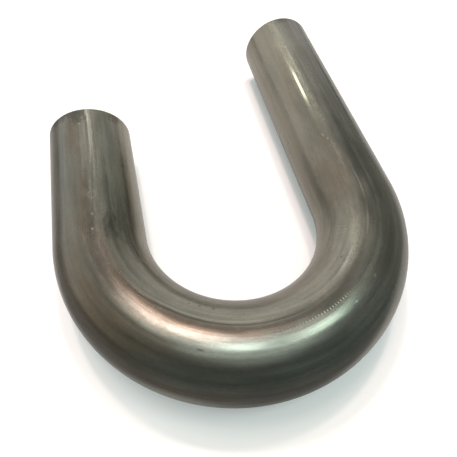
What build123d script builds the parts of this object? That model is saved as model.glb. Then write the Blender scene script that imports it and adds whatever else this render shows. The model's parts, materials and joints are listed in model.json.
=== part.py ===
from build123d import *
from math import cos, radians, sin, sqrt
import os

# Exhaust mandrel bend: one welded steel tube, bent through a half turn, with a short and a long leg.
# It lies on its side with the legs along +Y, the short leg on the -X side and +Z up.
# The origin is on the surface it lies on, below the middle of its outline.

# Sizes in millimetres, angles in degrees
tube_od = 50.8
wall = 1.65
bend_radius = 76.2  # to the centreline, one and a half times the tube's diameter
short_leg = 85.0  # from the end of the turn to the saw cut
long_leg = 157.0
wall_draw = 0.30  # at the crown the wall is this much thinner outside and thicker inside
edge_break = 0.30  # chamfer of the deburred cuts
seam_angle = 8.0  # the weld seam lies this far past the top, toward the inside of the turn
bead_width = 3.2  # weld bead left along the bore
bead_height = 0.20

# Worked out from the sizes
tube_radius = tube_od / 2
bore_radius = tube_radius - wall
turn_centre_y = (bend_radius + tube_radius - max(short_leg, long_leg)) / 2
short_cut_y = turn_centre_y + short_leg
long_cut_y = turn_centre_y + long_leg

# Both sections are seen along the tube from the short leg's cut.
# The outside has X toward the inside of the turn, the bore has X out through the weld seam.
axis_plane = Plane.XY.offset(tube_radius)
outside_plane = Plane(
    origin=(-bend_radius, short_cut_y, tube_radius),
    x_dir=(1, 0, 0),
    z_dir=(0, -1, 0),
)
bore_plane = Plane(
    origin=outside_plane.origin,
    x_dir=(sin(radians(seam_angle)), 0, cos(radians(seam_angle))),
    z_dir=outside_plane.z_dir,
)


def centreline(crown_shift):
    """Short leg, half turn and long leg, with the turn's centre crown_shift further from the cuts."""
    turn_y = turn_centre_y - crown_shift
    with BuildLine(axis_plane) as path:
        Line((-bend_radius, short_cut_y), (-bend_radius, turn_y))
        CenterArc((0, turn_y), bend_radius, start_angle=180, arc_size=180)
        Line((bend_radius, turn_y), (bend_radius, long_cut_y))
    return path.wire()


outside_path = centreline(0)
bore_path = centreline(wall_draw)

with BuildPart() as bend_tube:
    # Outside: cylinders on the legs and a torus round the turn
    with BuildSketch(outside_plane):
        Circle(tube_radius)
    sweep(path=outside_path)

    # Bore: round, with the weld bead standing into it. Round the turn it runs a little outward,
    # because the wall stretches thin on the outside of a turn and gathers on the inside
    bead_foot = bead_width / 2
    bead_reach = sqrt(bore_radius**2 - bead_foot**2)
    with BuildSketch(bore_plane):
        with BuildLine():
            bead = ThreePointArc(
                (bead_reach, -bead_foot), (bore_radius - bead_height, 0), (bead_reach, bead_foot)
            )
            ThreePointArc(bead @ 1, (-bore_radius, 0), bead @ 0)
        make_face()
    sweep(path=bore_path, mode=Mode.SUBTRACT)

    # Both saw cuts are square and deburred, outside and inside
    saw_cuts = bend_tube.faces().filter_by(GeomType.PLANE)
    chamfer(saw_cuts.edges(), edge_break)

bend_tube.part.label = "bend_tube"

os.makedirs("parts", exist_ok=True)
export_step(bend_tube.part, "parts/bend_tube.step")
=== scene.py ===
import json
import math

import bpy
import numpy as np
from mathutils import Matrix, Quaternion, Vector


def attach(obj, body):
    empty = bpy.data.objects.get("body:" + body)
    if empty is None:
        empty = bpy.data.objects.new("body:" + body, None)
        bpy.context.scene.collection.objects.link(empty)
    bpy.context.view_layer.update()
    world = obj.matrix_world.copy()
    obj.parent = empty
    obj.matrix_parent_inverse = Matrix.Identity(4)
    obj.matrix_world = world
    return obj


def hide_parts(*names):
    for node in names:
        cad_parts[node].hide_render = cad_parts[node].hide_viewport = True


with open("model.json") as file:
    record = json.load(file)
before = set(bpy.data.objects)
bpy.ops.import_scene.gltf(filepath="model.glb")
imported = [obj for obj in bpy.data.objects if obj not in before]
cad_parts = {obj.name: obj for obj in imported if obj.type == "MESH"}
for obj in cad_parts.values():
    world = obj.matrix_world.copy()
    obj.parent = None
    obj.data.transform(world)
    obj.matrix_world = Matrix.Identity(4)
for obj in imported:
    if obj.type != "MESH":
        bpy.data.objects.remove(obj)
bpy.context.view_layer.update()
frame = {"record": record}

# The tube's own sizes come from the record's mounts. Lengths are in metres unless a name says mm,
# "along" is the path length from the short leg's cut in mm, and "round" is degrees from the top,
# positive toward the inside of the turn.
mounts = {mount["name"]: mount for mount in frame["record"]["mounts"]}
shortLegPin = mounts["short_leg_outside"]
longLegPin = mounts["long_leg_outside"]

tube = {
    "radius": shortLegPin["dims"]["r_mm"] / 1000,
    "boreRadius": mounts["short_leg_bore"]["dims"]["r_mm"] / 1000,
    "bendRadius": abs(shortLegPin["pos_m"][0]),
    "shortLeg": shortLegPin["dims"]["length_mm"] / 1000,
    "longLeg": longLegPin["dims"]["length_mm"] / 1000,
    "axisHeight": shortLegPin["pos_m"][2],
    "wallDraw": 0.0003,  # the bore's half turn sits this much further out
    "edgeBreak": 0.0003,
    "stationsOutside": 330,
    "stationsCut": 4,
    "stationsBoreEnd": 46,  # close together near each cut, where the bore is seen
    "stationsBoreMiddle": 90,
    "boreEndLength": 0.030,
    "columnsFine": 92,  # close together round the top, where the seam and the crease are
    "columnsCoarse": 74,
    "fineFrom": -14.0,
    "fineSeam": 2.0,  # this column follows the seam, and the next one the die's marks
    "fineMark": 14.0,
    "fineTo": 34.0,
    "sharpAngle": 30.0,
}
tube["turnY"] = shortLegPin["pos_m"][1] - tube["shortLeg"] / 2
tube["turnLength"] = math.pi * tube["bendRadius"]
tube["length"] = tube["shortLeg"] + tube["turnLength"] + tube["longLeg"]

# Lines that wander along the tube, as (along, round) pairs
seam = {
    "along": [0, 36, 67, 89, 120, 224, 257, 275, 330, 482],
    "round": [8.2, 8.6, 4.5, 1.5, 0.0, 0.5, -1.5, -2.5, 2.0, 6.0],
    "halfFlatMm": 0.9,  # the bead outside was planed off to a narrow flat on the short leg
    "flatFade": (34, 84),
    "beadHalfWidthMm": 1.6,  # the bead inside is left as welded
    "beadHeightMm": 0.20,
    "beadPitchMm": 1.7,
    "beadRipple": 0.15,  # share of its height that comes and goes with the pitch, to either side
}

# A strip that the bending die rubbed smooth on the long leg
rubbedStrip = {
    "along": [270, 289, 336, 360, 384, 424, 482],
    "round": [9.5, 9.5, 9.5, 17.0, 23.6, 22.6, 20.5],
    "halfFlatMm": 1.0,
    "flatFade": (366, 410),
}

# The mark that the edge of the die left round the first half of the turn
crease = {
    "along": [0, 95, 135, 152, 168, 210, 260],
    "round": [15.0, 8.5, 9.7, 12.3, 12.8, 13.0, 12.0],
    "halfWidthMm": 0.9,
    "depthMm": 0.07,
    "lipAtMm": 1.7,
    "lipHalfWidthMm": 0.8,
    "lipHeightMm": 0.03,
    "fadeIn": (105, 140),
    "fadeOut": (190, 250),
}


# A point of the tube: the centreline at a path length, plus the radius times
# (outward * cos(angle) + up * sin(angle)). Outward is -X on the short leg, turns
# with the half turn and is +X on the long leg. The angle is 0 outside and 90 on top.
def tubePoint(path, angle, radius, turnShift):
    shortLeg = tube["shortLeg"] + turnShift
    turn = np.clip((path - shortLeg) / tube["bendRadius"], 0, math.pi)
    outwardX = np.cos(math.pi + turn)
    outwardY = np.sin(math.pi + turn)
    legLeft = np.clip(shortLeg - path, 0, None)
    legRight = np.clip(path - shortLeg - tube["turnLength"], 0, None)
    centreX = tube["bendRadius"] * outwardX
    centreY = tube["turnY"] - turnShift + tube["bendRadius"] * outwardY + legLeft + legRight
    x = centreX + radius * np.cos(angle) * outwardX
    y = centreY + radius * np.cos(angle) * outwardY
    z = tube["axisHeight"] + radius * np.sin(angle)
    return np.stack([x, y, z], axis=-1)


# A hump that is 1 at its centre and falls smoothly to 0 at its half width: (1 - d^2)^2
def softHump(distance, halfWidth):
    d = np.clip(np.abs(distance) / halfWidth, 0, 1)
    return (1 - d * d) ** 2


# A step from 0 to 1 between two values: 3t^2 - 2t^3
def softStep(value, start, end):
    t = np.clip((value - start) / (end - start), 0, 1)
    return t * t * (3 - 2 * t)


# How deep a flat lies under the round skin: (halfWidth^2 - distance^2) / (2 * radius)
def planedFlat(distanceMm, halfWidthMm):
    radiusMm = tube["radius"] * 1000
    return np.clip(halfWidthMm**2 - distanceMm**2, 0, None) / (2 * radiusMm)


# Signed distance round the skin, in mm, from a line that wanders along the tube:
# (round - the line's round at this path length) * radius
def arcFrom(line, alongMm, roundDegrees):
    centre = np.interp(alongMm, line["along"], line["round"])
    return np.radians(roundDegrees - centre) * tube["radius"] * 1000


# Round angles in degrees from the top, one row for each station: close together round the top, and
# there stretched piece by piece, so that one column runs along the seam and one along the marks
def roundColumns(alongMm):
    fineFrom, fineTo = tube["fineFrom"], tube["fineTo"]
    atSeam, atMark = tube["fineSeam"], tube["fineMark"]
    fine = np.linspace(fineFrom, fineTo, tube["columnsFine"], endpoint=False)
    coarse = np.linspace(fineTo, fineFrom + 360, tube["columnsCoarse"], endpoint=False)
    column = np.concatenate([fine, coarse])[None, :]
    seamRound = np.interp(alongMm, seam["along"], seam["round"])[:, None]
    markAlong = crease["along"] + rubbedStrip["along"]
    markRound = np.interp(alongMm, markAlong, crease["round"] + rubbedStrip["round"])[:, None]
    toSeam = np.clip((column - fineFrom) / (atSeam - fineFrom), 0, 1)
    toMark = np.clip((column - atSeam) / (atMark - atSeam), 0, 1)
    toEnd = np.clip((column - atMark) / (fineTo - atMark), 0, 1)
    stretched = toSeam * (seamRound - fineFrom) + toMark * (markRound - seamRound)
    stretched = stretched + toEnd * (fineTo - markRound)
    return fineFrom + stretched + np.clip(column - fineTo, 0, None)


# The closed outline along the tube: outside, chamfer, cut, chamfer, bore, chamfer, cut, chamfer.
# Each station has its path length, its radius, whether it lies on the bore's own path, and
# the material slot of the strip that follows it: 0 outside, 1 bore, 2 cut.
def alongStations():
    chamfer = tube["edgeBreak"]
    total = tube["length"]
    boreTotal = total + 2 * tube["wallDraw"]
    endLength = tube["boreEndLength"]
    outside = np.linspace(chamfer, total - chamfer, tube["stationsOutside"])
    nearEnd = np.linspace(chamfer, endLength, tube["stationsBoreEnd"], endpoint=False)
    middle = np.linspace(endLength, boreTotal - endLength, tube["stationsBoreMiddle"])
    inside = np.concatenate([nearEnd, middle, boreTotal - nearEnd[::-1]])[::-1]
    wall = np.linspace(tube["radius"] - chamfer, tube["boreRadius"] + chamfer, tube["stationsCut"])
    counts = [len(outside), len(wall), len(inside), len(wall)]
    path = np.concatenate([outside, np.full(counts[1], total), inside, np.zeros(counts[3])])
    outsideRadius = np.full(counts[0], tube["radius"])
    boreRadius = np.full(counts[2], tube["boreRadius"])
    radius = np.concatenate([outsideRadius, wall, boreRadius, wall[::-1]])
    onBore = np.repeat([False, False, True, False], counts)
    slot = np.repeat([0, 2, 1, 2], [counts[0] - 1, counts[1] + 1, counts[2] - 1, counts[3] + 1])
    return path, radius, onBore, slot.astype(np.int32)


# The skin: the outline above, carried round the tube. The radius falls by the seam's planed flat,
# the rubbed strip and the crease outside, and by the rippled weld bead in the bore.
def buildTube():
    path, radius, onBore, slot = alongStations()
    roundGrid = roundColumns(path * 1000)
    pathGrid = np.broadcast_to(path[:, None], roundGrid.shape)
    radiusGrid = np.broadcast_to(radius[:, None], pathGrid.shape)
    boreGrid = np.broadcast_to(onBore[:, None], pathGrid.shape)
    outsideGrid = radiusGrid == tube["radius"]
    angle = np.radians(90 + roundGrid)
    alongMm = pathGrid * 1000

    fromSeam = arcFrom(seam, alongMm, roundGrid)
    fromStrip = arcFrom(rubbedStrip, alongMm, roundGrid)
    fromCrease = arcFrom(crease, alongMm, roundGrid)
    wave = np.cos(2 * math.pi * alongMm / seam["beadPitchMm"])
    ripple = 1 - seam["beadRipple"] + seam["beadRipple"] * wave
    bead = seam["beadHeightMm"] * softHump(fromSeam, seam["beadHalfWidthMm"]) * ripple
    planed = planedFlat(fromSeam, seam["halfFlatMm"]) * (1 - softStep(alongMm, *seam["flatFade"]))
    rubbed = planedFlat(fromStrip, rubbedStrip["halfFlatMm"])
    rubbed = rubbed * softStep(alongMm, *rubbedStrip["flatFade"])
    lip = crease["lipHeightMm"] * softHump(fromCrease - crease["lipAtMm"], crease["lipHalfWidthMm"])
    groove = crease["depthMm"] * softHump(fromCrease, crease["halfWidthMm"]) - lip
    grooveShare = softStep(alongMm, *crease["fadeIn"]) * (1 - softStep(alongMm, *crease["fadeOut"]))
    dentOutside = planed + rubbed + groove * grooveShare
    dent = np.where(outsideGrid, dentOutside, np.where(boreGrid, bead, 0))
    dented = radiusGrid - dent / 1000

    outsidePoints = tubePoint(pathGrid, angle, dented, 0.0)
    borePoints = tubePoint(pathGrid, angle, dented, tube["wallDraw"])
    points = np.where(boreGrid[..., None], borePoints, outsidePoints)
    lastPath = tube["length"] + np.where(boreGrid, 2 * tube["wallDraw"], 0)
    fromCut = np.minimum(pathGrid, lastPath - pathGrid) * 1000
    straight = np.stack([radiusGrid * np.cos(angle), radiusGrid * np.sin(angle), pathGrid], axis=-1)

    rows, columns = pathGrid.shape
    row, column = np.meshgrid(np.arange(rows), np.arange(columns), indexing="ij")
    nextRow = (row + 1) % rows
    nextColumn = (column + 1) % columns
    corners = [(row, column), (nextRow, column), (nextRow, nextColumn), (row, nextColumn)]
    faces = np.stack([r * columns + c for r, c in corners], axis=-1).reshape(-1, 4)
    return {
        "points": points.reshape(-1, 3),
        "faces": faces,
        "slot": np.repeat(slot, columns),
        "straightTube": straight.reshape(-1, 3) * 1000,
        "fromSeam": fromSeam.ravel(),
        "fromStrip": fromStrip.ravel(),
        "fromCrease": fromCrease.ravel(),
        "fromCut": fromCut.ravel(),
    }


def makeMesh(name, points, faces):
    mesh = bpy.data.meshes.new(name)
    mesh.vertices.add(len(points))
    mesh.vertices.foreach_set("co", points.astype(np.float32).ravel())
    mesh.loops.add(faces.size)
    mesh.loops.foreach_set("vertex_index", faces.astype(np.int32).ravel())
    mesh.polygons.add(len(faces))
    mesh.polygons.foreach_set("loop_start", np.arange(0, faces.size, 4, dtype=np.int32))
    mesh.update(calc_edges=True)
    mesh.polygons.foreach_set("use_smooth", np.ones(len(faces), dtype=bool))
    return mesh


skin = buildTube()
skinMesh = makeMesh("bendTubeSkin", skin["points"], skin["faces"])
skinMesh.polygons.foreach_set("material_index", skin["slot"])
skinMesh.set_sharp_from_angle(angle=math.radians(tube["sharpAngle"]))
straightTube = skinMesh.attributes.new("straightTube", "FLOAT_VECTOR", "POINT")
straightTube.data.foreach_set("vector", skin["straightTube"].astype(np.float32).ravel())
for name in ("fromSeam", "fromStrip", "fromCrease", "fromCut"):
    distance = skinMesh.attributes.new(name, "FLOAT", "POINT")
    distance.data.foreach_set("value", skin[name].astype(np.float32))
bendTubeSkin = bpy.data.objects.new("bendTubeSkin", skinMesh)
bpy.context.scene.collection.objects.link(bendTubeSkin)
print("tube skin:", len(skin["points"]), "points,", len(skin["faces"]), "faces")


# Node helpers: inputs are given by name or number, as a plain value or as another node's output
def addNode(tree, kind, inputs=None, **settings):
    node = tree.nodes.new(kind)
    for name, value in settings.items():
        setattr(node, name, value)
    for name, value in (inputs or {}).items():
        if isinstance(value, bpy.types.NodeSocket):
            tree.links.new(value, node.inputs[name])
        else:
            node.inputs[name].default_value = value
    return node


def calc(tree, operation, *values):
    return addNode(tree, "ShaderNodeMath", dict(enumerate(values)), operation=operation).outputs[0]


def calcVector(tree, operation, *values):
    node = addNode(tree, "ShaderNodeVectorMath", dict(enumerate(values)), operation=operation)
    return node.outputs["Value" if operation in ("LENGTH", "DOT_PRODUCT") else "Vector"]


def noiseAt(tree, position, scale, detail, roughness=0.5):
    inputs = {"Vector": position, "Scale": scale, "Detail": detail, "Roughness": roughness}
    return addNode(tree, "ShaderNodeTexNoise", inputs).outputs[0]


def mapRange(tree, value, start, end, smooth=True):
    inputs = {"Value": value, "From Min": start, "From Max": end, "To Min": 0.0, "To Max": 1.0}
    kind = "SMOOTHSTEP" if smooth else "LINEAR"
    return addNode(tree, "ShaderNodeMapRange", inputs, interpolation_type=kind).outputs[0]


def mixValue(tree, factor, first, second):
    return addNode(tree, "ShaderNodeMix", {"Factor": factor, "A": first, "B": second}).outputs["Result"]


def mixColour(tree, factor, first, second, blend="MIX"):
    inputs = {"Factor": factor, "A": first, "B": second}
    node = addNode(tree, "ShaderNodeMix", inputs, data_type="RGBA", blend_type=blend, clamp_factor=True)
    return node.outputs["Result"]


# Lays one colour over another where a mask says, by a strength
def layOver(tree, colour, mask, strength, overColour):
    return mixColour(tree, calc(tree, "MULTIPLY", mask, strength), colour, overColour)


# A colour times a grey of this value
def dim(tree, colour, value):
    grey = addNode(tree, "ShaderNodeCombineColor", {0: value, 1: value, 2: value}).outputs[0]
    return mixColour(tree, 1.0, colour, grey, blend="MULTIPLY")


# The masks that are named in shares, each times its share, added to a first value
def addUp(tree, masks, shares, total=0.0):
    for name, share in shares.items():
        total = calc(tree, "MULTIPLY_ADD", masks[name], share, total)
    return total


def newGroup(name, inputs, outputs):
    group = bpy.data.node_groups.new(name, "ShaderNodeTree")
    for label, value in inputs.items():
        kind = "NodeSocketVector" if isinstance(value, tuple) else "NodeSocketFloat"
        socket = group.interface.new_socket(name=label, in_out="INPUT", socket_type=kind)
        socket.default_value = value
    for label in outputs:
        kind = "NodeSocketVector" if label == "Straight" else "NodeSocketFloat"
        group.interface.new_socket(name=label, in_out="OUTPUT", socket_type=kind)
    start = group.nodes.new("NodeGroupInput")
    end = group.nodes.new("NodeGroupOutput")
    return group, start.outputs, end


# Places a group, with its inputs named in one word: halfWidth is the input "Half width"
def useGroup(tree, group, **inputs):
    plugs = {}
    for name, value in inputs.items():
        words = "".join(" " + c if c.isupper() else c for c in name)
        plugs[words.capitalize()] = value
    return addNode(tree, "ShaderNodeGroup", plugs, node_tree=group).outputs


# A mask with its edge at distance 1: 1 up to 1 - softness, 0 from 1 + softness
def softEdge(group, distance, softness):
    outer = calc(group, "ADD", 1.0, softness)
    inner = calc(group, "SUBTRACT", 1.0, softness)
    return mapRange(group, distance, outer, inner)


# A distance that noise makes uneven: distance + 2 * ragged * (noise - 0.5)
def raggedDistance(group, distance, noise, ragged):
    swing = calc(group, "MULTIPLY", calc(group, "SUBTRACT", noise, 0.5), ragged)
    return calc(group, "MULTIPLY_ADD", swing, 2.0, distance)


noiseSpan = (0.3, 0.7)  # most of a noise lies between these


# Where a point is on the tube before it was bent: along in mm, round in degrees from the top
def makeTubePlace():
    group, _, end = newGroup("tubePlace", {}, ["Straight", "Along", "Round"])
    place = addNode(group, "ShaderNodeAttribute", attribute_name="straightTube").outputs["Vector"]
    split = addNode(group, "ShaderNodeSeparateXYZ", {0: place}).outputs
    turn = calc(group, "ARCTAN2", calc(group, "MULTIPLY", split["X"], -1.0), split["Y"])
    group.links.new(place, end.inputs["Straight"])
    group.links.new(split["Z"], end.inputs["Along"])
    group.links.new(calc(group, "DEGREES", turn), end.inputs["Round"])
    return group


# Streaks that run along the tube: noise stretched by the ratio of its two sizes in mm
def makeDrawLines():
    inputs = {"Straight": (0.0, 0.0, 0.0), "Width": 1.0, "Length": 60.0, "Detail": 3.0, "Shift": 0.0}
    group, given, end = newGroup("drawLines", inputs, ["Lines"])
    across = calc(group, "DIVIDE", 1.0, given["Width"])
    lengthwise = calc(group, "DIVIDE", 1.0, given["Length"])
    sizes = addNode(group, "ShaderNodeCombineXYZ", {"X": across, "Y": across, "Z": lengthwise})
    scaled = calcVector(group, "MULTIPLY", given["Straight"], sizes.outputs[0])
    noise = addNode(
        group,
        "ShaderNodeTexNoise",
        {"Vector": scaled, "W": given["Shift"], "Scale": 1.0, "Detail": given["Detail"]},
        noise_dimensions="4D",
    )
    lines = mapRange(group, noise.outputs[0], *noiseSpan, smooth=False)
    group.links.new(lines, end.inputs["Lines"])
    return group


# A soft oval patch with a ragged edge, its grain drawn out along the tube: 1 inside, 0 outside
def makePatch():
    inputs = {
        "Straight": (0.0, 0.0, 0.0), "Along": 0.0, "Round": 0.0,
        "Centre along": 0.0, "Centre round": 0.0, "Half along": 10.0, "Half round": 10.0,
        "Softness": 0.3, "Ragged": 0.5, "Grain": 3.0,
    }
    group, given, end = newGroup("patch", inputs, ["Mask"])
    squares = []
    for side in ("along", "round"):
        off = calc(group, "SUBTRACT", given[side.capitalize()], given["Centre " + side])
        share = calc(group, "DIVIDE", off, given["Half " + side])
        squares.append(calc(group, "POWER", calc(group, "ABSOLUTE", share), 2.0))
    distance = calc(group, "SQRT", calc(group, "ADD", *squares))
    size = calc(group, "DIVIDE", 1.0, given["Grain"])
    flow = addNode(group, "ShaderNodeMapping", {"Vector": given["Straight"], "Scale": (1.0, 1.0, 0.35)})
    grain = noiseAt(group, flow.outputs[0], size, 4.0, 0.6)
    reach = raggedDistance(group, distance, grain, given["Ragged"])
    group.links.new(softEdge(group, reach, given["Softness"]), end.inputs["Mask"])
    return group


# A band between two distances from a line, faded in and out along the tube
def makeBand():
    inputs = {"Distance": 0.0, "Centre": 0.0, "Half width": 1.0, "Softness": 0.4,
              "Along": 0.0, "Start": 0.0, "Stop": 100.0, "Fade": 5.0}
    group, given, end = newGroup("band", inputs, ["Mask"])
    off = calc(group, "ABSOLUTE", calc(group, "SUBTRACT", given["Distance"], given["Centre"]))
    across = softEdge(group, calc(group, "DIVIDE", off, given["Half width"]), given["Softness"])
    fullFrom = calc(group, "ADD", given["Start"], given["Fade"])
    fullTo = calc(group, "SUBTRACT", given["Stop"], given["Fade"])
    fadeIn = mapRange(group, given["Along"], given["Start"], fullFrom)
    fadeOut = mapRange(group, given["Along"], given["Stop"], fullTo)
    faded = calc(group, "MULTIPLY", across, calc(group, "MULTIPLY", fadeIn, fadeOut))
    group.links.new(faded, end.inputs["Mask"])
    return group


# Metal rubbed bright near a rim: 1 on the rim, 0 beyond a reach that noise makes ragged
def makeEdgeWear():
    inputs = {"Straight": (0.0, 0.0, 0.0), "From rim": 10.0, "Reach": 0.5, "Ragged": 0.5, "Grain": 1.0}
    group, given, end = newGroup("edgeWear", inputs, ["Mask"])
    grain = noiseAt(group, given["Straight"], calc(group, "DIVIDE", 1.0, given["Grain"]), 3.0)
    distance = raggedDistance(group, given["From rim"], grain, given["Ragged"])
    group.links.new(mapRange(group, distance, given["Reach"], 0.0), end.inputs["Mask"])
    return group


# Small dark specks: one point in each cell of a Voronoi grid, of which a share is kept
def makeDust():
    inputs = {"Straight": (0.0, 0.0, 0.0), "Size": 0.6, "Share": 0.3}
    group, given, end = newGroup("dust", inputs, ["Mask"])
    cells = calc(group, "DIVIDE", 0.25, given["Size"])  # a cell is four times the size
    points = addNode(group, "ShaderNodeTexVoronoi", {"Vector": given["Straight"], "Scale": cells})
    pick = addNode(group, "ShaderNodeSeparateColor", {0: points.outputs["Color"]}).outputs[0]
    kept = calc(group, "LESS_THAN", pick, given["Share"])
    speck = mapRange(group, points.outputs["Distance"], 0.22, 0.10)  # its soft rim, in cells
    group.links.new(calc(group, "MULTIPLY", kept, speck), end.inputs["Mask"])
    return group


tubePlace = makeTubePlace()
drawLines = makeDrawLines()
patch = makePatch()
band = makeBand()
edgeWear = makeEdgeWear()
dust = makeDust()


# Distance in mm from the seam, strip, crease or nearer cut, kept in the mesh
def distanceFrom(tree, feature):
    return addNode(tree, "ShaderNodeAttribute", attribute_name="from" + feature).outputs["Fac"]


# A mask for each row of width in mm, length in mm, detail and shift
def addStreaks(tree, straight, streaks):
    masks = {}
    for name, (width, length, detail, shift) in streaks.items():
        masks[name] = useGroup(
            tree, drawLines, straight=straight, width=width, length=length, detail=detail, shift=shift
        )["Lines"]
    return masks


def addBand(tree, distance, along, centre, halfWidth, softness, start, stop, fade):
    return useGroup(
        tree, band, distance=distance, centre=centre, halfWidth=halfWidth, softness=softness,
        along=along, start=start, stop=stop, fade=fade,
    )["Mask"]


def addPatch(tree, place, centreAlong, centreRound, halfAlong, halfRound, softness, ragged, grain):
    return useGroup(
        tree, patch, straight=place["Straight"], along=place["Along"], round=place["Round"],
        centreAlong=centreAlong, centreRound=centreRound, halfAlong=halfAlong, halfRound=halfRound,
        softness=softness, ragged=ragged, grain=grain,
    )["Mask"]


# Adds patches to a colour, each mixed in by its own strength, the last number of its row
def addPatches(tree, place, colour, patches, patchColour):
    for *shape, strength in patches:
        colour = layOver(tree, colour, addPatch(tree, place, *shape), strength, patchColour)
    return colour


# Rubbed rims and dust, which all three metals have
def addWearAndDust(tree, colour, position, fromRim, look):
    reach, ragged, grain, strength = look["edgeWear"]
    wear = useGroup(
        tree, edgeWear, straight=position, fromRim=fromRim, reach=reach, ragged=ragged, grain=grain
    )["Mask"]
    colour = layOver(tree, colour, wear, strength, look["bright"])
    size, share, strength, dustColour = look["dust"]
    specks = useGroup(tree, dust, straight=position, size=size, share=share)["Mask"]
    return layOver(tree, colour, specks, strength, look[dustColour])


def newMaterial(name):
    material = bpy.data.materials.new(name)
    material.use_nodes = True
    tree = material.node_tree
    tree.nodes.clear()
    output = addNode(tree, "ShaderNodeOutputMaterial")
    return material, tree, output


# The metal's own shader, with its bump
def addMetal(tree, output, colour, rough, height, look):
    strength, distance = look["bump"]
    bump = addNode(tree, "ShaderNodeBump", {"Strength": strength, "Distance": distance, "Height": height})
    inputs = {
        "Base Color": colour,
        "Metallic": look["metallic"],
        "Roughness": rough,
        "Normal": bump.outputs[0],
    }
    shader = addNode(tree, "ShaderNodeBsdfPrincipled", inputs)
    tree.links.new(shader.outputs[0], output.inputs["Surface"])


wholeTube = (-20, 520, 4)  # start, stop and fade of a band that goes on past both cuts

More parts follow.
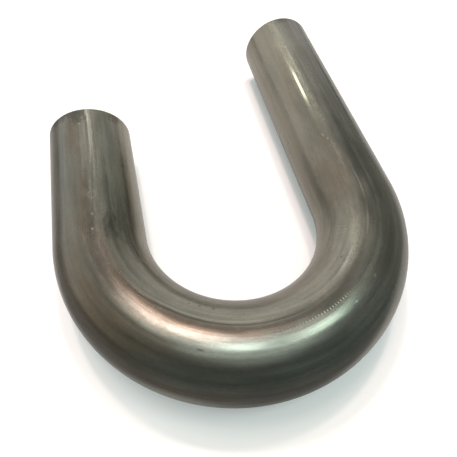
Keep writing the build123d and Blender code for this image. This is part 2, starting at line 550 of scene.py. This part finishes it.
# Outside, the tube is bare steel as it was drawn and bent: fine streaks along it, stains and rust
# under a film of dried lubricant, and the marks of the seam and the die. Some of its dark patches are
# painted shade and a painted dark reflection, and the weld's dots and some bright spots are painted
# glints.
steel = {
    "neutral": (0.236, 0.234, 0.212, 1),
    "warm": (0.254, 0.238, 0.194, 1),
    "cool": (0.200, 0.228, 0.200, 1),
    # dark colour of the stains and of the patches of painted shade
    "darkStainAndShade": (0.085, 0.083, 0.070, 1),
    "rust": (0.205, 0.150, 0.105, 1),
    # bright: rubbed metal, and outside also the colour of painted glints and a painted highlight
    "bright": (0.50, 0.47, 0.40, 1),
    # the weld's dots are painted glints in this near-white
    "weldDotGlint": (0.86, 0.84, 0.78, 1),
    "metallic": 1.0,
    "leastRoughness": 0.19,
    "seamRoughness": 0.19,
    "stripRoughness": 0.085,
    "bump": (0.14, 0.00004),  # strength, distance
    # Streaks of the drawn skin: width mm, length mm, detail, shift
    "streaks": {
        "hair": (0.35, 40, 2, 0.0),
        "fine": (1.1, 80, 3, 1.7),
        "middle": (2.4, 34, 4, 5.2),
        "broad": (5.0, 110, 2, 3.1),
        "cloud": (9.0, 24, 5, 7.3),
        "mottle": (0.9, 1.8, 3, 4.4),
    },
    # What the streaks, and the side inside the turn, give to warmth, shade, roughness and height
    "warmShares": {"broad": 0.45, "inner": 0.50, "middle": 0.30},
    "shadeShares": {
        "hair": 0.06, "fine": 0.18, "middle": 0.28, "broad": 0.18, "cloud": 0.28, "mottle": 0.14,
    },
    "roughShares": {"cloud": 0.08, "middle": 0.05},
    "heightShares": {"hair": 0.25, "fine": 0.40, "middle": 0.30, "mottle": 0.16},
    "innerFromTo": (-5.0, 35.0),  # round
    "darkestShade": 0.50,
    "meanShade": 1.06,
    # Patches: along, round, half along, half round, softness, ragged, grain mm, strength
    "stainsAndPaintedShade": {
        # Darker over the short leg's outer side, and near its cut
        "shortLegOuterDark": (40, -28, 88, 29, 0.6, 0.9, 9.0, 0.40),
        "cutOuterDark": (14, -72, 26, 14, 0.7, 0.8, 5.0, 0.34),
        "oilFilmTop": (60, -2, 60, 12, 0.7, 0.7, 7.0, 0.16),
        "sideLine": (74, 23.5, 24, 1.8, 0.7, 1.2, 2.5, 0.50),
        "blot": (88, 23, 8, 6, 0.6, 2.2, 2.5, 0.55),
        "wiperStreak": (66, 49, 36, 2.6, 0.6, 1.1, 4.0, 0.50),
        "wiperSmear": (98, 40, 20, 4.5, 0.7, 1.8, 3.0, 0.42),
        "wiperThread": (88, 33, 22, 1.6, 0.7, 1.6, 3.0, 0.30),
        "cutGrime": (4, -6, 7, 9, 0.5, 2.4, 1.0, 0.75),
        # Grime and painted shade along the short leg's cut, on its outer rim
        "cutGrimeAndRimShade": (1.5, -46, 3.5, 40, 0.6, 2.2, 1.0, 0.80),
        "cutGrimeInner": (3, 46, 4, 9, 0.5, 2.2, 1.0, 0.5),
        "crownUnder": (178, -62, 60, 14, 0.7, 0.8, 8.0, 0.10),
        # Painted shade on the long leg: the leg shade patches here, at the top and on the outer side
        # darken it where its reflections fall darker
        "paintedLegShade": (346, 28, 60, 20, 0.7, 1.0, 7.0, 0.30),
        "paintedLegShadeTop": (268, -8, 30, 14, 0.8, 1.0, 6.0, 0.28),
        # Painted dark reflection of the short leg on the long leg's inner side
        "paintedShortLegReflection": (322, 62, 24, 9, 0.7, 1.2, 5.0, 0.24),
        "legFootCloud": (306, 44, 12, 10, 0.7, 2.2, 6.0, 0.20),
        "paintedLegShadeOuter": (306, -60, 56, 22, 0.7, 0.8, 6.0, 0.34),
        "seamStain": (104, -2, 44, 6.5, 0.6, 1.2, 4.0, 0.60),
        # Painted shadow on the crown's inner side, where it reflects the shaded floor inside the turn
        "paintedCrownInnerShade": (172, 62, 46, 14, 0.7, 0.9, 6.0, 0.42),
        "legStreak": (396, -28, 34, 2.6, 0.5, 0.8, 4.0, 0.70),
        "legStreakTop": (352, -2, 44, 3.0, 0.7, 1.4, 4.0, 0.36),
        "legStreakMiddle": (336, -12, 26, 5.0, 0.7, 1.4, 4.0, 0.24),
        "crownMark": (172, -16.3, 1.4, 1.0, 0.5, 0.6, 1.0, 0.7),
        "farCutGrime": (480, 0, 4, 12, 0.6, 2.2, 1.0, 0.5),
    },
    "rustTints": {
        "shortLegRust": (72, -7, 28, 8, 0.6, 1.4, 4.0, 0.60),
        "cutRust": (18, -14, 18, 9, 0.6, 1.4, 4.0, 0.55),
        "turnRust": (120, 6, 34, 7, 0.7, 1.0, 5.0, 0.40),
        "crownRust": (165, -66, 24, 5, 0.6, 1.2, 4.0, 0.35),
        "outerRust": (118, -52, 30, 16, 0.7, 1.2, 5.0, 0.30),
        "turnOuterRust": (108, -26, 34, 13, 0.8, 1.4, 6.0, 0.34),
        "crownOuterRust": (160, -34, 34, 14, 0.8, 1.4, 6.0, 0.24),
        "creaseRust": (168, 6, 48, 5.5, 0.7, 0.8, 4.0, 0.50),
        "longLegRust": (362, 29, 32, 8, 0.7, 1.2, 4.0, 0.30),
        "longLegHaze": (412, 40, 26, 14, 0.8, 1.2, 6.0, 0.22),
        "legFootRust": (326, 40, 20, 12, 0.8, 2.4, 7.0, 0.32),
    },
    "coolTints": {
        "topFilm": (48, 30, 46, 16, 0.7, 1.0, 7.0, 0.30),
        "outerFilm": (46, -30, 30, 9, 0.7, 1.0, 5.0, 0.30),
        "legFilm": (378, 26, 24, 9, 0.7, 1.4, 5.0, 0.28),
        "legFilmEnd": (428, 48, 13, 8, 0.7, 1.4, 4.0, 0.28),
        "crownFilm": (208, -36, 62, 30, 0.7, 1.0, 7.0, 0.75),
    },
    "hazes": {  # duller skin, where the strength is added roughness
        "legHaze": (334, 60, 36, 26, 0.8, 0.8, 8.0, 0.16),
        "wiperHaze": (70, 50, 40, 14, 0.8, 0.8, 6.0, 0.06),
    },
    "faintStreaks": (412, 48, 96, 36, 0.7, 0.4, 8.0, 0.6),  # the shade goes toward its mean
    # Bands: the line they follow, centre mm, half width mm, softness, start, stop, fade
    "bands": {
        "creaseDark": ("Crease", 0.0, 0.45, 0.7, 112, 240, 26),
        "creaseLip": ("Crease", 1.5, 0.50, 0.8, 120, 215, 22),
        "seamFlat": ("Seam", 0.0, 0.95, 0.4, -10, 70, 36),
        "seamLine": ("Seam", 0.35, 0.35, 0.6, 2, 96, 20),
        "seamShade": ("Seam", -2.6, 1.3, 0.6, -20, 75, 24),
        "seamThread": ("Seam", 0.0, 0.35, 0.8, 88, 300, 40),
        "seamDots": ("Seam", 0.0, 0.40, 0.6, 198, 276, 18),
        "clearDots": ("Seam", 0.0, 3.0, 0.3, 214, 250, 10),
        "beigeLine": ("Strip", 0.0, 0.3, 0.8, 276, 346, 18),
        "smoothStrip": ("Strip", 0.0, 0.9, 0.4, 378, 436, 20),
        "calmStrip": ("Strip", 0.0, 3.2, 0.6, 350, 500, 20),
    },
    # The bands that have a colour, in the order they are laid on: colour, strength
    "bandColours": {
        "creaseDark": ("darkStainAndShade", 0.60),
        "creaseLip": ("bright", 0.40),
        "seamLine": ("darkStainAndShade", 0.42),
        "seamShade": ("darkStainAndShade", 0.40),
        "seamFlat": ("darkStainAndShade", 0.22),
        "seamDots": ("weldDotGlint", 1.0),
        "seamThread": ("darkStainAndShade", 0.28),
        "beigeLine": ("bright", 0.60),
    },
    "dotShape": (-0.1, 0.9),  # where the wave along the seam starts a dot, and where it is full
    "dotBreaks": (0.1, 0.5),  # the same of the fine streaks that break the row of dots
    "dotLeast": 0.25,  # share of the dots outside the stretch where they are clear
    "dotHeight": 1.2,
    "beigeBreaks": (0.1, 0.7),  # the same of the clouds that break the beige line
    "rubbedOff": 0.85,  # share of the skin's relief that is gone on the seam's flat and the strip
    # Spots: along, round, half along, half round, strength
    "pits": [
        (165.8, 32.1, 0.6, 1.3, 0.7), (173.9, 32.6, 0.7, 1.4, 0.8), (159.8, 30.5, 0.5, 1.0, 0.6),
        (264.5, 29.3, 0.5, 1.1, 0.8), (270.8, 27.0, 0.4, 0.9, 0.5),
    ],
    # Bright spots, some of them painted glints; the two at the short leg's cut are a painted highlight on
    # the seam
    "brightSpotsAndGlints": [
        (79.5, 3.1, 0.9, 1.4, 0.35), (88.9, 1.5, 0.8, 1.2, 0.5), (262.2, -12.8, 0.9, 1.4, 0.6),
        (245.6, -12.5, 0.7, 1.2, 0.6), (360.8, 24.6, 1.2, 1.0, 0.35), (357.0, 21.0, 1.0, 1.4, 0.35),
        (12.3, -4.0, 0.9, 1.3, 0.35), (2.2, 5.4, 3.4, 1.7, 0.42), (7.0, 7.0, 4.5, 1.2, 0.30),
    ],
    "spotEdge": (0.5, 0.5, 0.8),  # softness, ragged, grain mm
    "ringAt": (66.8, 4.5),  # along, round
    "ringBand": (2.2, 0.35, 0.8),  # radius mm, half width mm, softness
    "ringStrength": 0.17,
    "scratchesAlong": [284.2, 286.6, 289.4],
    "scratchBand": (0.3, 0.7, 31, 46, 3),  # half width mm, softness, round from, round to, fade
    "scratchStrength": 0.20,
    "edgeWear": (0.5, 0.6, 0.7, 0.55),  # reach mm, ragged, grain mm, strength
    "dust": (0.55, 0.30, 0.20, "darkStainAndShade"),  # size mm, share of the cells, strength, colour
}


# A small ring-shaped mark: a band at its radius round its own middle
def ringMask(tree, along, roundFromTop):
    ringAlong, ringRound = steel["ringAt"]
    mmPerDegree = math.radians(tube["radius"] * 1000)
    x = calc(tree, "SUBTRACT", along, ringAlong)
    y = calc(tree, "MULTIPLY", calc(tree, "SUBTRACT", roundFromTop, ringRound), mmPerDegree)
    offset = addNode(tree, "ShaderNodeCombineXYZ", {0: x, 1: y}).outputs[0]
    return addBand(tree, calcVector(tree, "LENGTH", offset), along, *steel["ringBand"], *wholeTube)


def makeSteelSkin():
    material, tree, output = newMaterial("bareSteelSkin")
    place = useGroup(tree, tubePlace)
    straight, along, roundFromTop = place["Straight"], place["Along"], place["Round"]
    fromLine = {line: distanceFrom(tree, line) for line in ("Seam", "Strip", "Crease")}
    masks = addStreaks(tree, straight, steel["streaks"])
    masks["inner"] = mapRange(tree, roundFromTop, *steel["innerFromTo"])
    for name, (line, *shape) in steel["bands"].items():
        masks[name] = addBand(tree, fromLine[line], along, *shape)

    # The drawn metal, warmer inside the turn, with tints, streaks and stains over it
    warmth = addUp(tree, masks, steel["warmShares"])
    colour = mixColour(tree, warmth, steel["neutral"], steel["warm"])
    colour = addPatches(tree, place, colour, steel["coolTints"].values(), steel["cool"])
    colour = addPatches(tree, place, colour, steel["rustTints"].values(), steel["rust"])
    *faintShape, faintness = steel["faintStreaks"]
    faint = calc(tree, "MULTIPLY", addPatch(tree, place, *faintShape), faintness)
    shade = addUp(tree, masks, steel["shadeShares"], steel["darkestShade"])
    colour = dim(tree, colour, mixValue(tree, faint, shade, steel["meanShade"]))
    # Stains, and the patches of painted shade and painted dark reflection
    colour = addPatches(tree, place, colour, steel["stainsAndPaintedShade"].values(), steel["darkStainAndShade"])

    # The die's mark, the planed seam with the dots of its weld, whose brightness is painted glints, and
    # the beige line before the strip
    stitch = calc(tree, "SINE", calc(tree, "MULTIPLY", along, 2 * math.pi / seam["beadPitchMm"]))
    least = steel["dotLeast"]
    dots = calc(tree, "MULTIPLY", masks["seamDots"], mapRange(tree, stitch, *steel["dotShape"]))
    dots = calc(tree, "MULTIPLY", dots, mapRange(tree, masks["fine"], *steel["dotBreaks"]))
    clearness = calc(tree, "MULTIPLY_ADD", masks["clearDots"], 1 - least, least)
    masks["seamDots"] = calc(tree, "MULTIPLY", dots, clearness)
    beigeShare = mapRange(tree, masks["cloud"], *steel["beigeBreaks"])
    masks["beigeLine"] = calc(tree, "MULTIPLY", masks["beigeLine"], beigeShare)
    for name, (bandColour, strength) in steel["bandColours"].items():
        colour = layOver(tree, colour, masks[name], strength, steel[bandColour])

    # Small marks: pits, bright spots of which some are painted glints and the two at the short leg's cut
    # a painted highlight on the seam, a ring and scratches
    for spots, spotColour in ((steel["pits"], steel["darkStainAndShade"]), (steel["brightSpotsAndGlints"], steel["bright"])):
        rows = [(*shape, *steel["spotEdge"], strength) for *shape, strength in spots]
        colour = addPatches(tree, place, colour, rows, spotColour)
    ring = ringMask(tree, along, roundFromTop)
    colour = layOver(tree, colour, ring, steel["ringStrength"], steel["bright"])
    for scratchAlong in steel["scratchesAlong"]:
        scratch = addBand(tree, along, roundFromTop, scratchAlong, *steel["scratchBand"])
        colour = layOver(tree, colour, scratch, steel["scratchStrength"], steel["bright"])
    colour = addWearAndDust(tree, colour, straight, distanceFrom(tree, "Cut"), steel)

    rough = addUp(tree, masks, steel["roughShares"], steel["leastRoughness"])
    for *shape, added in steel["hazes"].values():
        rough = calc(tree, "MULTIPLY_ADD", addPatch(tree, place, *shape), added, rough)
    rough = mixValue(tree, masks["seamFlat"], rough, steel["seamRoughness"])
    rough = mixValue(tree, masks["smoothStrip"], rough, steel["stripRoughness"])

    relief = addUp(tree, masks, steel["heightShares"])
    rubbed = calc(tree, "MAXIMUM", masks["seamFlat"], masks["calmStrip"])
    relief = calc(tree, "MULTIPLY", relief, calc(tree, "MULTIPLY_ADD", rubbed, -steel["rubbedOff"], 1.0))
    height = calc(tree, "MULTIPLY_ADD", masks["seamDots"], steel["dotHeight"], relief)
    addMetal(tree, output, colour, rough, height, steel)
    return material


# Inside, the tube is duller: oil-darkened scale with rust near the cuts, and beside the weld
# bead the straw and blue bands that its heat left
bore = {
    "scale": (0.235, 0.226, 0.200, 1),
    "darkScale": (0.130, 0.125, 0.112, 1),
    "weld": (0.300, 0.290, 0.260, 1),
    "straw": (0.270, 0.195, 0.105, 1),
    "blue": (0.105, 0.120, 0.175, 1),
    "rust": (0.190, 0.120, 0.070, 1),
    "bright": (0.420, 0.400, 0.350, 1),
    "metallic": 0.75,
    "leastRoughness": 0.36,
    "bump": (0.5, 0.00005),  # strength, distance
    # Width mm, length mm, detail, shift
    "streaks": {
        "fine": (0.9, 70, 3, 2.4),
        "broad": (5.0, 60, 3, 6.1),
        "cloud": (4.0, 7, 5, 9.0),
    },
    "scaleShares": {"broad": 0.3, "cloud": 0.4, "fine": 0.3},
    "roughShares": {"cloud": 0.18, "rusted": 0.25},
    "heightShares": {"fine": 1.0, "cloud": 0.6},
    # Bands beside the bead, in the order they are laid on: centre mm, half width mm, softness, strength
    "bands": {
        "blue": (4.4, 1.3, 0.8, 0.60),
        "straw": (2.7, 0.9, 0.8, 0.60),
        "weld": (0.0, seam["beadHalfWidthMm"], 0.2, 0.75),
    },
    "rustFromTo": (14.0, 1.0),  # mm from the cut where rust starts, and where it is full
    "rustBreaks": (0.35, 0.85),  # the same of the clouds that break it
    "rustStrength": 0.70,
    "edgeWear": (0.6, 0.8, 0.8, 0.70),  # reach mm, ragged, grain mm, strength
    "dust": (0.8, 0.45, 0.50, "darkScale"),  # size mm, share of the cells, strength, colour
}


def makeBoreScale():
    material, tree, output = newMaterial("boreScale")
    place = useGroup(tree, tubePlace)
    straight, along = place["Straight"], place["Along"]
    fromBead = calc(tree, "ABSOLUTE", distanceFrom(tree, "Seam"))
    fromCut = distanceFrom(tree, "Cut")
    masks = addStreaks(tree, straight, bore["streaks"])
    colour = mixColour(tree, addUp(tree, masks, bore["scaleShares"]), bore["darkScale"], bore["scale"])
    for name, (*shape, strength) in bore["bands"].items():
        heat = addBand(tree, fromBead, along, *shape, *wholeTube)
        colour = layOver(tree, colour, heat, strength, bore[name])
    nearCut = mapRange(tree, fromCut, *bore["rustFromTo"])
    masks["rusted"] = calc(tree, "MULTIPLY", nearCut, mapRange(tree, masks["cloud"], *bore["rustBreaks"]))
    colour = layOver(tree, colour, masks["rusted"], bore["rustStrength"], bore["rust"])
    colour = addWearAndDust(tree, colour, straight, fromCut, bore)
    rough = addUp(tree, masks, bore["roughShares"], bore["leastRoughness"])
    addMetal(tree, output, colour, rough, addUp(tree, masks, bore["heightShares"]), bore)
    return material


# The cuts show fresh metal with the saw's strokes across it, a little rust, and rubbed rims.
# Their patterns lie in Object coordinates, so in metres.
cut = {
    "metal": (0.460, 0.450, 0.415, 1),
    "shade": (0.240, 0.232, 0.205, 1),
    "rust": (0.260, 0.170, 0.105, 1),
    "bright": (0.640, 0.620, 0.570, 1),
    "metallic": 1.0,
    "leastRoughness": 0.28,
    "bump": (0.6, 0.00003),  # strength, distance
    "strokeTilt": 14.0,  # degrees from level
    "strokesPerMetre": (30.0, 40.0, 1900.0),  # along them, into the metal, across them
    "leastMetal": 0.25,  # share of the metal's colour between the strokes
    "metalShares": {"strokes": 0.70},
    "roughShares": {"strokes": 0.12, "rusted": 0.20},
    "rustPerMetre": 260.0,
    "rustFromTo": (0.54, 0.72),
    "rustStrength": 0.60,
    "edgeWear": (0.25, 0.35, 0.0006, 0.60),  # reach mm, ragged, grain in metres, strength
    "dust": (0.0005, 0.35, 0.35, "shade"),  # size in metres, share of the cells, strength, colour
}


def makeSawCut():
    material, tree, output = newMaterial("sawCutSteel")
    straight = useGroup(tree, tubePlace)["Straight"]
    inSpace = addNode(tree, "ShaderNodeTexCoord").outputs["Object"]
    tilt = (0.0, math.radians(cut["strokeTilt"]), 0.0)
    turned = addNode(tree, "ShaderNodeMapping", {"Vector": inSpace, "Rotation": tilt}).outputs[0]
    stretched = calcVector(tree, "MULTIPLY", turned, cut["strokesPerMetre"])
    strokes = noiseAt(tree, stretched, 1.0, 3.0, 0.6)
    spots = noiseAt(tree, inSpace, cut["rustPerMetre"], 5.0)
    masks = {
        "strokes": mapRange(tree, strokes, *noiseSpan, smooth=False),
        "rusted": mapRange(tree, spots, *cut["rustFromTo"]),
    }
    metalShare = addUp(tree, masks, cut["metalShares"], cut["leastMetal"])
    colour = mixColour(tree, metalShare, cut["shade"], cut["metal"])
    colour = layOver(tree, colour, masks["rusted"], cut["rustStrength"], cut["rust"])
    fromAxis = calcVector(tree, "LENGTH", calcVector(tree, "MULTIPLY", straight, (1.0, 1.0, 0.0)))
    wallMiddleMm = (tube["radius"] + tube["boreRadius"]) / 2 * 1000
    halfWallMm = (tube["radius"] - tube["boreRadius"]) / 2 * 1000
    fromMiddle = calc(tree, "ABSOLUTE", calc(tree, "SUBTRACT", fromAxis, wallMiddleMm))
    fromRim = calc(tree, "SUBTRACT", halfWallMm, fromMiddle)
    colour = addWearAndDust(tree, colour, inSpace, fromRim, cut)
    rough = addUp(tree, masks, cut["roughShares"], cut["leastRoughness"])
    addMetal(tree, output, colour, rough, masks["strokes"], cut)
    return material


for slotMaterial in (makeSteelSkin(), makeBoreScale(), makeSawCut()):
    skinMesh.materials.append(slotMaterial)

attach(bendTubeSkin, "root")
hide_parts("bend_tube")
print("materials: skin, bore and saw cuts")

# Floor: white to the camera, with the object's shadow left in. To the metal the paper is painted
# darker away from the object: dimmer to the left and right, dark toward the front, and a painted
# shadow toward the left front.
paper = {
    "halfSize": 3.0,
    "colour": (0.80, 0.80, 0.80, 1),
    "glow": 0.22,
    "glowColour": (0.86, 1.0, 1.02, 1),
    "glowFurtherOff": (0.32, 1.1, 1.0),  # from this distance, to this distance, glow beyond
    "metalColour": (0.565, 0.595, 0.600, 1),
    "farLeft": (-0.11, -0.20, 0.60),  # from x, to x, brightness beyond
    "farRight": (0.21, 0.42, 0.50),
    "farFront": (-0.122, -0.155, 0.34),  # the same along y
    # a painted shadow in what the metal sees toward the left front
    "paintedShadowCorner": (0.119, 0.142, 0.42),  # the same toward the left front
    "cornerToward": (-0.8, -0.6, 0.0),
}


# A brightness that changes beyond one edge: from here, to here, brightness beyond
def fadeFloor(tree, value, edge, tone):
    start, end, beyond = edge
    return mixValue(tree, mapRange(tree, value, start, end), tone, beyond)


def makeFloor():
    half = paper["halfSize"]
    corners = np.array([[-half, -half, 0], [half, -half, 0], [half, half, 0], [-half, half, 0]])
    mesh = makeMesh("floor", corners, np.array([[0, 1, 2, 3]]))
    floor = bpy.data.objects.new("floor", mesh)
    bpy.context.scene.collection.objects.link(floor)
    material, tree, output = newMaterial("floorPaper")
    rays = addNode(tree, "ShaderNodeLightPath").outputs
    place = addNode(tree, "ShaderNodeTexCoord").outputs["Object"]
    split = addNode(tree, "ShaderNodeSeparateXYZ", {0: place}).outputs
    toCorner = calcVector(tree, "DOT_PRODUCT", place, paper["cornerToward"])
    tone = fadeFloor(tree, split["X"], paper["farLeft"], 1.0)
    tone = fadeFloor(tree, split["X"], paper["farRight"], tone)
    tone = fadeFloor(tree, toCorner, paper["paintedShadowCorner"], tone)
    tone = fadeFloor(tree, split["Y"], paper["farFront"], tone)
    inMetal = dim(tree, paper["metalColour"], tone)
    colour = mixColour(tree, rays["Is Glossy Ray"], paper["colour"], inMetal)
    sheet = addNode(tree, "ShaderNodeBsdfDiffuse", {"Color": colour})
    glow = fadeFloor(tree, calcVector(tree, "LENGTH", place), paper["glowFurtherOff"], paper["glow"])
    glow = calc(tree, "MULTIPLY", rays["Is Camera Ray"], glow)
    light = addNode(tree, "ShaderNodeEmission", {"Color": paper["glowColour"], "Strength": glow})
    lit = addNode(tree, "ShaderNodeAddShader", {0: sheet.outputs[0], 1: light.outputs[0]})
    tree.links.new(lit.outputs[0], output.inputs["Surface"])
    mesh.materials.append(material)
    return floor


makeFloor()

# Lamps: place, size across, radiance and colour. The key and second lamps throw the two shadows,
# and the metal sees only the others, each as one of its highlights.
lamps = {
    "keyLamp": {"place": (-0.10, 0.50, 1.10), "size": (0.10, 0.10), "radiance": 160.0,
                "colour": (1.0, 0.74, 0.71), "seenInMetal": False},
    "secondLamp": {"place": (0.16, 0.40, 1.10), "size": (0.10, 0.10), "radiance": 140.0,
                   "colour": (1.0, 0.76, 0.72), "seenInMetal": False},
    "warmLamp": {"place": (-0.105, 0.225, 1.20), "size": (0.46, 0.38), "radiance": 8.0,
                 "colour": (1.0, 0.80, 0.75), "seenInMetal": True},
    "softLamp": {"place": (-0.42, 0.02, 1.12), "size": (0.50, 0.34), "radiance": 1.3,
                 "colour": (1.0, 0.95, 0.88), "seenInMetal": True},
    "coolLamp": {"place": (0.045, -0.218, 1.24), "size": (0.26, 0.26), "radiance": 7.2,
                 "colour": (0.87, 1.0, 0.98), "seenInMetal": True},
    "sideLamp": {"place": (0.514, -0.17, 1.14), "size": (0.28, 0.28), "radiance": 6.4,
                 "colour": (0.82, 1.0, 0.90), "seenInMetal": True},
    "seamLamp": {"place": (0.055, 1.15, 1.08), "size": (0.08, 0.14), "radiance": 7.0,
                 "colour": (1.0, 1.0, 0.86), "seenInMetal": True},
    "stripLamp": {"place": (-0.215, 1.11, 1.08), "size": (0.11, 0.14), "radiance": 5.0,
                  "colour": (1.0, 1.0, 0.86), "seenInMetal": True},
}
lampsAimAt = (0.0, -0.03, 0.03)


# A lamp's power is its radiance times pi times the area of its ellipse
def makeLamps():
    for name, lamp in lamps.items():
        light = bpy.data.lights.new(name, "AREA")
        light.shape = "ELLIPSE"
        light.size, light.size_y = lamp["size"]
        light.color = lamp["colour"]
        light.energy = lamp["radiance"] * math.pi * math.pi * light.size * light.size_y / 4
        item = bpy.data.objects.new(name, light)
        item.location = lamp["place"]
        item.visible_glossy = lamp["seenInMetal"]
        back = Vector(lamp["place"]) - Vector(lampsAimAt)
        item.rotation_euler = back.to_track_quat("Z", "Y").to_euler()
        bpy.context.scene.collection.objects.link(item)


makeLamps()

# The room: white to the camera. The metal sees a white backdrop behind and to the left,
# brownish and greenish dim sides, a dark front and a soft glow overhead.
room = {
    "backdrop": (1.0, 0.99, 0.95, 1),
    "leftSide": (0.54, 0.48, 0.40, 1),
    "rightSide": (0.285, 0.288, 0.262, 1),
    "front": (0.19, 0.205, 0.19, 1),
    "overhead": (1.20, 1.27, 1.22, 1),
    "backdropToward": (-0.34, 0.92, -0.15),
    "overheadToward": (0.10, -0.18, 0.98),
    # Where each starts and where it is full, by how far a direction points that way, up to 1
    "leftToRight": (-0.9, 0.1),
    "frontEdge": (0.1, -0.7),
    "backdropEdge": (0.20, 0.67),
    "overheadEdge": (0.82, 1.03),
}


def makeRoom():
    world = bpy.data.worlds.new("studio")
    bpy.context.scene.world = world
    world.use_nodes = True
    tree = world.node_tree
    tree.nodes.clear()
    output = addNode(tree, "ShaderNodeOutputWorld")
    toward = addNode(tree, "ShaderNodeTexCoord").outputs["Generated"]
    split = addNode(tree, "ShaderNodeSeparateXYZ", {0: toward}).outputs
    back = calcVector(tree, "DOT_PRODUCT", toward, room["backdropToward"])
    above = calcVector(tree, "DOT_PRODUCT", toward, room["overheadToward"])
    rightward = mapRange(tree, split["X"], *room["leftToRight"])
    walls = mixColour(tree, rightward, room["leftSide"], room["rightSide"])
    walls = mixColour(tree, mapRange(tree, split["Y"], *room["frontEdge"]), walls, room["front"])
    walls = mixColour(tree, mapRange(tree, back, *room["backdropEdge"]), walls, room["backdrop"])
    walls = mixColour(tree, mapRange(tree, above, *room["overheadEdge"]), walls, room["overhead"])
    seenRoom = addNode(tree, "ShaderNodeBackground", {"Color": walls})
    white = addNode(tree, "ShaderNodeBackground", {"Color": (1, 1, 1, 1)})
    rays = addNode(tree, "ShaderNodeLightPath").outputs
    chooser = addNode(
        tree,
        "ShaderNodeMixShader",
        {0: rays["Is Camera Ray"], 1: seenRoom.outputs[0], 2: white.outputs[0]},
    )
    tree.links.new(chooser.outputs[0], output.inputs["Surface"])


makeRoom()

# Where the photograph was taken from, fitted to the tube's outlines in it
viewPoint = {
    "location": (-0.04141, -0.15164, 0.22874),
    "aim": (-0.00313, -0.03111, 0.0254),
    "roll": 4.52,  # degrees
    "lens": 32.049,  # mm
    "sensor": 36.0,
}


def makeCamera():
    lens = bpy.data.cameras.new("photoView")
    lens.lens = viewPoint["lens"]
    lens.sensor_width = viewPoint["sensor"]
    camera = bpy.data.objects.new("photoView", lens)
    camera.location = viewPoint["location"]
    sight = Vector(viewPoint["aim"]) - Vector(viewPoint["location"])
    roll = Quaternion((0, 0, 1), math.radians(viewPoint["roll"]))
    camera.rotation_euler = (sight.to_track_quat("-Z", "Y") @ roll).to_euler()
    bpy.context.scene.collection.objects.link(camera)
    bpy.context.scene.camera = camera


makeCamera()
bpy.context.scene.view_settings.view_transform = "Standard"
print("studio: floor, lamps, room and camera")
